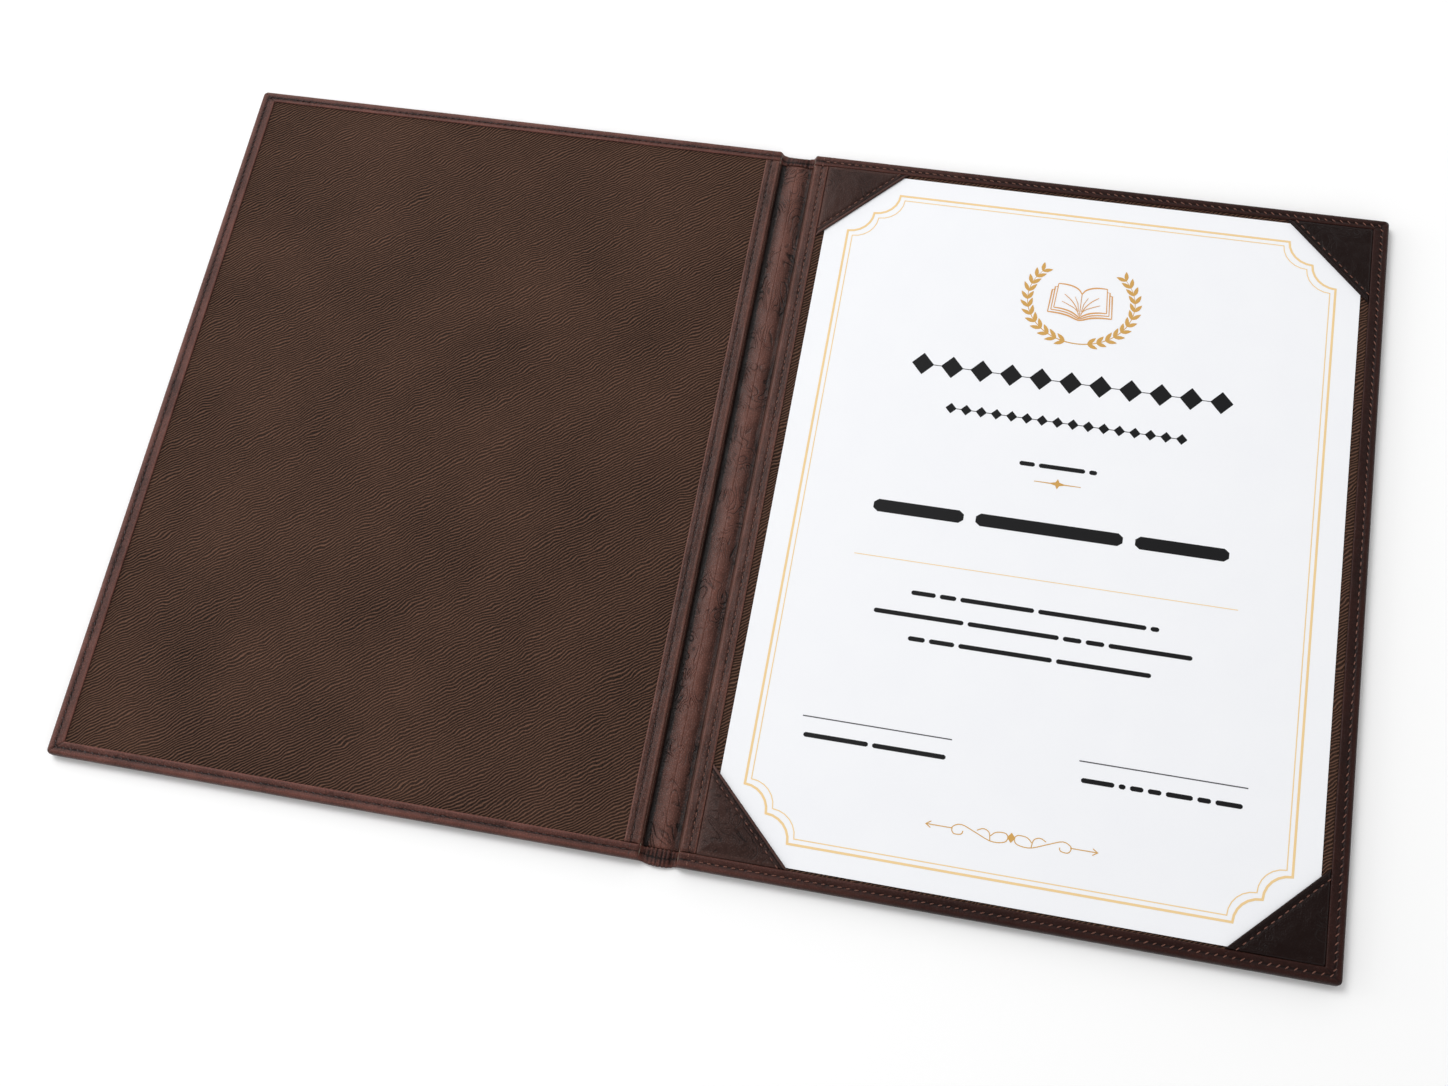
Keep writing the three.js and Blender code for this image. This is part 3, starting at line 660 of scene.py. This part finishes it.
# %% Corner pockets
POCKET_LEG = 34.0
POCKET_SEAM = 2.6
POCKET_THICKNESS = 0.35
HEM = [(0.0, 4.46), (-0.02, 4.7), (0.06, 4.98), (0.25, 5.18), (0.55, 5.3), (0.85, 5.22), (1.1, 5.02),
       (1.35, 4.9), (1.7, 4.96), (2.1, 5.0), (2.4, 4.93), (2.6, 4.84), (2.8, 4.93), (3.1, 5.02),
       (3.6, 5.08)]


def pocket_points(corner, way_x, way_y, puff, seed):
    reach = POCKET_LEG / math.sqrt(2)
    rows = HEM + [(3.6 + (reach - 3.9) * i / 34, None) for i in range(1, 35)]
    columns = 72
    points = []
    wear_and_painted_light = []
    for inset, z in rows:
        left = 1 - inset / reach
        for k in range(columns + 1):
            part = k / columns
            a = POCKET_LEG * left * part
            b = POCKET_LEG * left * (1 - part)
            x = corner[0] - way_x * a
            y = corner[1] - way_y * b
            along = (a - b) / math.sqrt(2)
            edge = min(a, b)
            if z is None:
                dome = smooth_step(0, 7, inset - 2.6) * smooth_step(0, 6, edge)
                slack = smooth_step(0, 3, inset - 3.2)
                height = 5.08 + puff * dome + 0.22 * ripple(x, y, 6.0, seed) * slack
                height += 0.1 * ripple(x, y, 2.2, seed + 4)
            else:
                height = z + 0.07 * ripple(x, y, 3.0, seed)
                if 2.0 < inset < 3.2:
                    height -= 0.12 * stitch_pull(along)
            height = 4.05 + (height - 4.05) * smooth_step(-0.7, 0.9, edge)
            points.append((x, y, height))
            # Painted light: the rolled hem is painted lighter as painted highlight and the groove behind it
            # darker as painted shade; the skin along the legs is lighter, partly rub wear and partly painted
            # highlight.
            hem_highlight_and_shade = 0.8 * (0.1 < inset < 0.95) - 0.35 * (1.05 < inset < 1.6)
            leg_edge_wear_and_highlight = 0.3 * (1 - smooth_step(0.6, 2.2, edge)) * (inset > 3)
            wear_and_painted_light.append(hem_highlight_and_shade + leg_edge_wear_and_highlight + 0.1 * (inset > 3.2))
    return points, wear_and_painted_light, len(rows), columns + 1


def corner_pocket(name, corner, way_x, way_y, puff, seed):
    points, wear_and_painted_light, rows, across = pocket_points(corner, way_x, way_y, puff, seed)
    faces = []
    for row in range(rows - 1):
        for k in range(across - 1):
            here = row * across + k
            face = (here, here + 1, here + across + 1, here + across)
            faces.append(face if way_x * way_y < 0 else tuple(reversed(face)))
    piece = make_piece(name, points, faces, pocket_leather, wear_and_painted_light, False, POCKET_THICKNESS)
    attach(piece, "back_cover")
    return piece


SPINE_SIDE = STRIP_EDGE + 0.1
FORE_SIDE = LIP_FORE - 0.05
POCKETS = {
    "head_spine_corner": ((SPINE_SIDE, LIP_HEAD - 0.05), -1, 1, 0.35, 2.0),
    "head_fore_corner": ((FORE_SIDE, LIP_HEAD - 0.05), 1, 1, 0.30, 13.0),
    "tail_spine_corner": ((SPINE_SIDE, LIP_TAIL + 0.05), -1, -1, 0.75, 27.0),
    "tail_fore_corner": ((FORE_SIDE, LIP_TAIL + 0.05), 1, -1, 0.35, 41.0),
}
for node, (corner, way_x, way_y, puff, seed) in POCKETS.items():
    pocket = corner_pocket(node.replace("corner", "pocket"), corner, way_x, way_y, puff, seed)
    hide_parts(node)

# %% [markdown]
# ## The pad in the spine
# A strip of card lies between the two sheets and gives the spine its swell. It is cut a little
# shorter than the spine, because both ends of the outer sheet are gathered in over it.

# %% Spine pad
CARD_HALF_WIDTH = 4.2
CARD_HALF_LENGTH = 149.6
CARD_ROWS = 30


def spine_card():
    half_width = CARD_HALF_WIDTH
    profile = [(-half_width + 0.15, 0.6), (half_width - 0.15, 0.6), (half_width, 0.68)]
    profile += [(half_width * math.cos(math.radians(a)), 0.7 + 0.48 * math.sin(math.radians(a)))
                for a in range(15, 180, 15)]
    profile += [(-half_width, 0.68)]
    points = []
    rows = [CARD_HALF_LENGTH * (2 * i / CARD_ROWS - 1) for i in range(CARD_ROWS + 1)]
    for y in rows:
        points += [(x, y, z) for x, z in profile]
    around = len(profile)
    faces = []
    for row in range(len(rows) - 1):
        for k in range(around):
            here = row * around + k
            following = row * around + (k + 1) % around
            faces.append((here, following, following + around, here + around))
    faces.append(tuple(reversed(range(around))))
    last = (len(rows) - 1) * around
    faces.append(tuple(last + k for k in range(around)))
    return make_piece("spine_card", points, [tuple(reversed(face)) for face in faces], grey_board)


card = spine_card()
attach(card, "spine")
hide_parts("spine_pad")

# %% [markdown]
# ## Linings
# Each board is lined with ribbed book cloth, glued down flat with its edges under the border. The
# cloth is a grid that wavers by a few hundredths of a millimetre, so that light plays over it.

# %% Linings
CLOTH_THICKNESS = 0.35


def lining_sheet(name, mirrored, node):
    low = Vector((7.6, -150.0))
    high = Vector((240.0, 150.0))
    columns = 78
    rows = 100
    points = []
    for row in range(rows + 1):
        y = low.y + (high.y - low.y) * row / rows
        for k in range(columns + 1):
            x = low.x + (high.x - low.x) * k / columns
            points.append((x, y, LINING_TOP - 0.05 + 0.04 * ripple(x, y, 22.0, 6.0 + mirrored)))
    across = columns + 1
    faces = []
    for row in range(rows):
        for k in range(columns):
            here = row * across + k
            faces.append((here, here + 1, here + across + 1, here + across))
    piece = make_piece(name, points, faces, lining_cloth, None, mirrored, CLOTH_THICKNESS)
    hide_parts(node)
    return piece


back_cloth = lining_sheet("back_lining_cloth", False, "back_lining")
front_cloth = lining_sheet("front_lining_cloth", True, "front_lining")
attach(back_cloth, "back_cover")
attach(front_cloth, "front_cover")

# %% [markdown]
# ## Stitches
# A seam is one small thread loop, repeated every three millimetres along a line. Geometry Nodes fit
# this well: the tree takes a line, walks along it in equal steps, and sets a small rounded thread at
# each step, turned along the line. The sizes are inputs of the tree, so one tree serves every seam.

# %% The stitching tree
def stitching_tree():
    tree = bpy.data.node_groups.new("row_of_stitches", "GeometryNodeTree")
    face = tree.interface
    face.new_socket("Seam lines", in_out="INPUT", socket_type="NodeSocketGeometry")
    for label, value in (("Pitch", 0.003), ("Stitch length", 0.002), ("Thread width", 0.0005)):
        socket = face.new_socket(label, in_out="INPUT", socket_type="NodeSocketFloat")
        socket.default_value = value
    seed = face.new_socket("Seed", in_out="INPUT", socket_type="NodeSocketInt")
    seed.default_value = 7
    face.new_socket("Thread", in_out="INPUT", socket_type="NodeSocketMaterial")
    face.new_socket("Stitches", in_out="OUTPUT", socket_type="NodeSocketGeometry")
    given = add_node(tree, "NodeGroupInput").outputs
    steps = add_node(tree, "GeometryNodeCurveToPoints",
                     {"Curve": given["Seam lines"], "Length": given["Pitch"]}, mode="LENGTH")
    loop = add_node(tree, "GeometryNodeMeshUVSphere", {"Segments": 8, "Rings": 6, "Radius": 0.5})
    smooth = add_node(tree, "GeometryNodeSetShadeSmooth", {"Geometry": loop.outputs["Mesh"]})
    vary = add_node(tree, "FunctionNodeRandomValue", {2: 0.82, 3: 1.1, "Seed": given["Seed"]},
                    data_type="FLOAT")
    length = maths(tree, "MULTIPLY", given["Stitch length"], vary.outputs[1])
    width = given["Thread width"]
    size = add_node(tree, "ShaderNodeCombineXYZ", {0: width, 1: width, 2: length})
    placed = add_node(tree, "GeometryNodeInstanceOnPoints",
                      {"Points": steps.outputs["Points"], "Instance": smooth.outputs[0],
                       "Rotation": steps.outputs["Rotation"], "Scale": size.outputs[0]})
    real = add_node(tree, "GeometryNodeRealizeInstances", {0: placed.outputs[0]})
    dressed = add_node(tree, "GeometryNodeSetMaterial",
                       {"Geometry": real.outputs[0], "Material": given["Thread"]})
    add_node(tree, "NodeGroupOutput", {0: dressed.outputs[0]})
    return tree


stitching = stitching_tree()
print("stitching tree:", len(stitching.nodes), "nodes")

# %% Seams of both covers
STITCH_LENGTH = 1.8
THREAD_WIDTH = 0.46


def seam_curve(name, lines):
    curve = bpy.data.curves.new(name, "CURVE")
    curve.dimensions = "3D"
    for line in lines:
        spline = curve.splines.new("POLY")
        spline.points.add(len(line) - 1)
        for point, (x, y, z) in zip(spline.points, line):
            point.co = (x * MM, y * MM, z * MM, 1)
    holder = bpy.data.objects.new(name, curve)
    bpy.context.scene.collection.objects.link(holder)
    return holder


def sew(name, lines, body):
    holder = seam_curve(name + "_lines", lines)
    sewing = holder.modifiers.new("stitches", "NODES")
    sewing.node_group = stitching
    values = {"Pitch": STITCH_PITCH * MM, "Stitch length": STITCH_LENGTH * MM,
              "Thread width": THREAD_WIDTH * MM, "Seed": 7, "Thread": thread_finish}
    for item in stitching.interface.items_tree:
        if item.in_out == "INPUT" and item.name in values:
            sewing[item.identifier] = values[item.name]
    seen = holder.evaluated_get(bpy.context.evaluated_depsgraph_get())
    mesh = bpy.data.meshes.new_from_object(seen)
    bpy.data.objects.remove(holder)
    piece = bpy.data.objects.new(name, mesh)
    bpy.context.scene.collection.objects.link(piece)
    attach(piece, body)
    print(name, len(mesh.polygons), "faces")
    return piece


def cover_seams(side):
    top = LIP_TOP - 0.12
    start = STRIP_SEAM + 2.0
    far = HALF_WIDTH - BORDER_SEAM
    high = HALF_HEIGHT - BORDER_SEAM
    border = [(start, high), (far, high), (far, -high), (start, -high)]
    wing = [(STRIP_SEAM, -HALF_HEIGHT + 1.6), (STRIP_SEAM, HALF_HEIGHT - 1.6)]
    return [[(side * x, y, top) for x, y in line] for line in (border, wing)]


def pocket_seam(corner, way_x, way_y):
    leg = POCKET_LEG - POCKET_SEAM * math.sqrt(2) - 0.6
    return [(corner[0] - way_x * leg, corner[1] - way_y * 0.6, 4.9),
            (corner[0] - way_x * 0.6, corner[1] - way_y * leg, 4.9)]


pocket_lines = [pocket_seam(corner, way_x, way_y) for corner, way_x, way_y, _, _ in POCKETS.values()]
back_stitches = sew("back_stitches", cover_seams(1) + pocket_lines, "back_cover")
front_stitches = sew("front_stitches", cover_seams(-1), "front_cover")
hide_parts("back_border_thread", "back_wing_thread",
            *[node + "_thread" for node in POCKETS])
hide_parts("front_border_thread", "front_wing_thread")

# %% [markdown]
# ## Certificate, print and boards
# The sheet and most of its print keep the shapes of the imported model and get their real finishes:
# white paper, gold ink for the frame and the ornaments, grey and black ink for rules and lozenges.

# %% Finishes for the pieces that keep their shape
GOLD_NODES = ("print_star_rule", "print_foot_scroll")
PALE_NODES = ("print_frame_outer", "print_frame_inner", "print_name_rule")
GREY_NODES = ("print_signature_rule_left", "print_signature_rule_right")


def finish_for(node):
    if node in GOLD_NODES:
        return gold_ink
    if node in PALE_NODES:
        return pale_gold_ink
    if node in GREY_NODES:
        return grey_ink
    if node.startswith("print_"):
        return black_ink
    if node.endswith("_board"):
        return grey_board
    return certificate_paper


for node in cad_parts:
    if node.startswith("print_") or node.endswith("_board") or node == "certificate_sheet":
        solid = bpy.data.objects[node]
        for slot in solid.material_slots:
            slot.material = finish_for(node)
print("finishes set on the kept pieces")

# %% [markdown]
# ## Fine print
# Three things on the sheet are finer than a solid needs to be. The laurel is two twigs with pairs of
# pointed leaves, and Geometry Nodes set one leaf along each twig, leaning to either side. The open
# book is drawn with thin ribbons, and each plain field becomes a row of bars with gaps between them.
# All of it lies a few hundredths of a millimetre above the paper.

# %% Ribbons of ink
PRINT_TOP = PAGE_TOP + 0.04
INK_THICKNESS = 0.03


def ribbon(points, widths, lift=0.0):
    corners = []
    level = PRINT_TOP + lift
    for i, (x, y) in enumerate(points):
        before = points[max(i - 1, 0)]
        after = points[min(i + 1, len(points) - 1)]
        along = Vector((after[0] - before[0], after[1] - before[1])).normalized()
        half = widths[i] / 2
        corners.append((x - along.y * half, y + along.x * half, level))
        corners.append((x + along.y * half, y - along.x * half, level))
    faces = [(2 * i + 1, 2 * i + 3, 2 * i + 2, 2 * i) for i in range(len(points) - 1)]
    return corners, faces


def print_piece(name, shapes, finish):
    points = []
    faces = []
    for corners, shape_faces in shapes:
        start = len(points)
        points += corners
        faces += [tuple(start + k for k in face) for face in shape_faces]
    piece = make_piece(name, points, faces, finish, None, False, INK_THICKNESS)
    piece.data.shade_flat()
    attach(piece, "back_cover")
    return piece


def smooth_line(points, steps=8):
    line = []
    for i in range(len(points) - 1):
        a = Vector(points[max(i - 1, 0)])
        b = Vector(points[i])
        c = Vector(points[i + 1])
        d = Vector(points[min(i + 2, len(points) - 1)])
        for k in range(steps):
            t = k / steps
            line.append(tuple(0.5 * (2 * b + (c - a) * t + (2 * a - 5 * b + 4 * c - d) * t ** 2
                                     + (3 * b - a - 3 * c + d) * t ** 3)))
    return line + [tuple(points[-1])]


# %% Open book
BOOK_LINES = [
    (0.42, [(0.0, 0.50), (0.10, 0.74), (0.28, 0.90), (0.50, 0.97), (0.74, 0.97)]),
    (0.38, [(0.74, 0.97), (0.80, -0.42)]),
    (0.42, [(0.80, -0.42), (0.56, -0.44), (0.30, -0.54), (0.10, -0.72), (0.0, -0.86)]),
    (0.30, [(0.0, 0.50), (0.0, -0.86)]),
    (0.34, [(0.76, 0.78), (0.83, 0.77), (0.88, -0.56)]),
    (0.34, [(0.88, -0.56), (0.60, -0.58), (0.32, -0.67), (0.10, -0.84), (0.0, -0.92)]),
    (0.38, [(0.84, 0.60), (0.91, 0.59), (0.97, -0.70)]),
    (0.46, [(0.97, -0.70), (0.62, -0.72), (0.34, -0.80), (0.12, -0.94), (0.0, -1.0)]),
    (0.26, [(0.03, -0.72), (0.12, -0.30), (0.30, 0.10), (0.52, 0.40)]),
    (0.22, [(0.03, -0.62), (0.16, -0.36), (0.36, -0.18), (0.58, -0.02)]),
    (0.20, [(0.04, -0.50), (0.09, -0.05), (0.20, 0.32)]),
]


def middle_and_half(node):
    low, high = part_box(node)
    middle = ((low[0] + high[0]) / 2 / MM, (low[1] + high[1]) / 2 / MM)
    half = ((high[0] - low[0]) / 2 / MM, (high[1] - low[1]) / 2 / MM)
    return middle, half


book_middle, book_half = middle_and_half("print_open_book")
book_shapes = []
for width, points in BOOK_LINES:
    for side in (-1, 1):
        placed = [(book_middle[0] + side * u * book_half[0], book_middle[1] + v * book_half[1])
                  for u, v in points]
        line = smooth_line(placed) if len(placed) > 3 else placed
        taper = [1.5 * width * (0.45 + 0.55 * math.sin(math.pi * (0.12 + 0.76 * i / (len(line) - 1))))
                 for i in range(len(line))]
        book_shapes.append(ribbon(line, taper, 0.002 * len(book_shapes)))
book_ink = printed_surface("orange_gold_ink", (206, 148, 84), (222, 168, 104), INK_ROUGHNESS, INK_TOOTH)
open_book = print_piece("print_book_lines", book_shapes, book_ink)
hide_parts("print_open_book")

# %% Laurel twigs with leaves along them
TWIG_POINTS = 40
wreath_middle, wreath_half = middle_and_half("print_laurel_wreath")
LEAF = [(0.0, 0.0), (0.18, 0.30), (0.42, 0.48), (0.68, 0.38), (0.88, 0.17), (1.0, 0.0),
        (0.88, -0.17), (0.68, -0.38), (0.42, -0.48), (0.18, -0.30)]


def twig(side):
    points = []
    for i in range(TWIG_POINTS):
        angle = math.radians(-108 + 146 * i / (TWIG_POINTS - 1))
        points.append((wreath_middle[0] + side * 0.90 * wreath_half[0] * math.cos(angle),
                       wreath_middle[1] + 0.14 * wreath_half[1] + 1.04 * wreath_half[1] * math.sin(angle)))
    return points


def leaf_tree(leaf):
    tree = bpy.data.node_groups.new("leaves_on_a_twig", "GeometryNodeTree")
    face = tree.interface
    face.new_socket("Twigs", in_out="INPUT", socket_type="NodeSocketGeometry")
    face.new_socket("Pairs", in_out="INPUT", socket_type="NodeSocketInt").default_value = 12
    for label, value in (("Leaf length", 0.004), ("Leaf width", 0.0016), ("Lean", 0.5)):
        face.new_socket(label, in_out="INPUT", socket_type="NodeSocketFloat").default_value = value
    face.new_socket("Seed", in_out="INPUT", socket_type="NodeSocketInt").default_value = 5
    face.new_socket("Ink", in_out="INPUT", socket_type="NodeSocketMaterial")
    face.new_socket("Leaves", in_out="OUTPUT", socket_type="NodeSocketGeometry")
    given = add_node(tree, "NodeGroupInput").outputs
    steps = add_node(tree, "GeometryNodeCurveToPoints",
                     {"Curve": given["Twigs"], "Count": given["Pairs"]}, mode="COUNT")
    facing = add_node(tree, "FunctionNodeAlignRotationToVector", {"Vector": steps.outputs["Tangent"]},
                      axis="X", pivot_axis="Z")
    shape = add_node(tree, "GeometryNodeObjectInfo", {"Object": leaf})
    vary = add_node(tree, "FunctionNodeRandomValue", {2: 0.92, 3: 1.06, "Seed": given["Seed"]},
                    data_type="FLOAT")
    length = maths(tree, "MULTIPLY", given["Leaf length"], vary.outputs[1])
    size = add_node(tree, "ShaderNodeCombineXYZ", {0: length, 1: given["Leaf width"], 2: 1.0})
    joined = add_node(tree, "GeometryNodeJoinGeometry")
    for way in (-1, 1):
        turn = add_node(tree, "ShaderNodeCombineXYZ", {2: maths(tree, "MULTIPLY", given["Lean"], way)})
        as_turn = add_node(tree, "FunctionNodeEulerToRotation", {0: turn.outputs[0]})
        leaning = add_node(tree, "FunctionNodeRotateRotation",
                           {0: facing.outputs[0], 1: as_turn.outputs[0]}, rotation_space="LOCAL")
        placed = add_node(tree, "GeometryNodeInstanceOnPoints",
                          {"Points": steps.outputs["Points"], "Instance": shape.outputs["Geometry"],
                           "Rotation": leaning.outputs[0], "Scale": size.outputs[0]})
        tree.links.new(placed.outputs[0], joined.inputs[0])
    real = add_node(tree, "GeometryNodeRealizeInstances", {0: joined.outputs[0]})
    dressed = add_node(tree, "GeometryNodeSetMaterial",
                       {"Geometry": real.outputs[0], "Material": given["Ink"]})
    add_node(tree, "NodeGroupOutput", {0: dressed.outputs[0]})
    return tree


def grow_leaves(twigs):
    leaf_mesh = bpy.data.meshes.new("one_leaf")
    corners = [(x, y, 0.02 * MM * x) for x, y in LEAF]
    leaf_mesh.from_pydata(corners, [], [tuple(reversed(range(len(LEAF))))])
    leaf = bpy.data.objects.new("one_leaf", leaf_mesh)
    bpy.context.scene.collection.objects.link(leaf)
    holder = seam_curve("twig_lines", [[(x, y, PRINT_TOP) for x, y in line] for line in twigs])
    growing = holder.modifiers.new("leaves", "NODES")
    growing.node_group = leaf_tree(leaf)
    values = {"Pairs": 12, "Leaf length": 4.6 * MM, "Leaf width": 1.75 * MM, "Lean": math.radians(33),
              "Seed": 5, "Ink": gold_ink}
    for item in growing.node_group.interface.items_tree:
        if item.in_out == "INPUT" and item.name in values:
            growing[item.identifier] = values[item.name]
    seen = holder.evaluated_get(bpy.context.evaluated_depsgraph_get())
    mesh = bpy.data.meshes.new_from_object(seen)
    points = [tuple(vertex.co / MM) for vertex in mesh.vertices]
    faces = [tuple(polygon.vertices) for polygon in mesh.polygons]
    bpy.data.objects.remove(holder)
    bpy.data.objects.remove(leaf)
    return points, faces


twigs = [twig(-1), twig(1)]
stem_widths = [0.5 - 0.3 * i / (TWIG_POINTS - 1) for i in range(TWIG_POINTS)]
stems = [ribbon(twigs[k], stem_widths, 0.01 * k - 0.02) for k in (0, 1)]
leafy = [line[8:] for line in twigs]
laurel = print_piece("print_laurel_leaves", stems + [grow_leaves(leafy)], gold_ink)
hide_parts("print_laurel_wreath")

# %% Rows of bars
BAR_LENGTHS = {
    "print_lead_line": (2, 6, 1), "print_name_line": (5, 8, 5), "print_body_line_1": (3, 2, 9, 13, 1),
    "print_body_line_2": (10, 10, 2, 2, 9), "print_body_line_3": (2, 3, 11, 11),
    "print_caption_left": (8, 9), "print_caption_right": (5, 1, 2, 2, 4, 2, 4)}


BAR_GAP = 0.9


def row_of_bars(node, lengths):
    low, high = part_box(node)
    left = low[0] / MM
    total = (high[0] - low[0]) / MM
    middle = (low[1] + high[1]) / 2 / MM
    tall = (high[1] - low[1]) / MM
    unit = (total - BAR_GAP * tall * (len(lengths) - 1)) / sum(lengths)
    shapes = []
    for length in lengths:
        width = unit * length
        end = min(0.35 * tall, 0.3 * width)
        right = left + width
        line = [(left, middle), (left + end, middle), (right - end, middle), (right, middle)]
        shapes.append(ribbon(line, [0.45 * tall, tall, tall, 0.45 * tall]))
        left = right + BAR_GAP * tall
    return shapes


for node, lengths in BAR_LENGTHS.items():
    bars = print_piece(node.replace("line", "words").replace("caption", "caption_words"),
                       row_of_bars(node, lengths), black_ink)
    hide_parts(node)
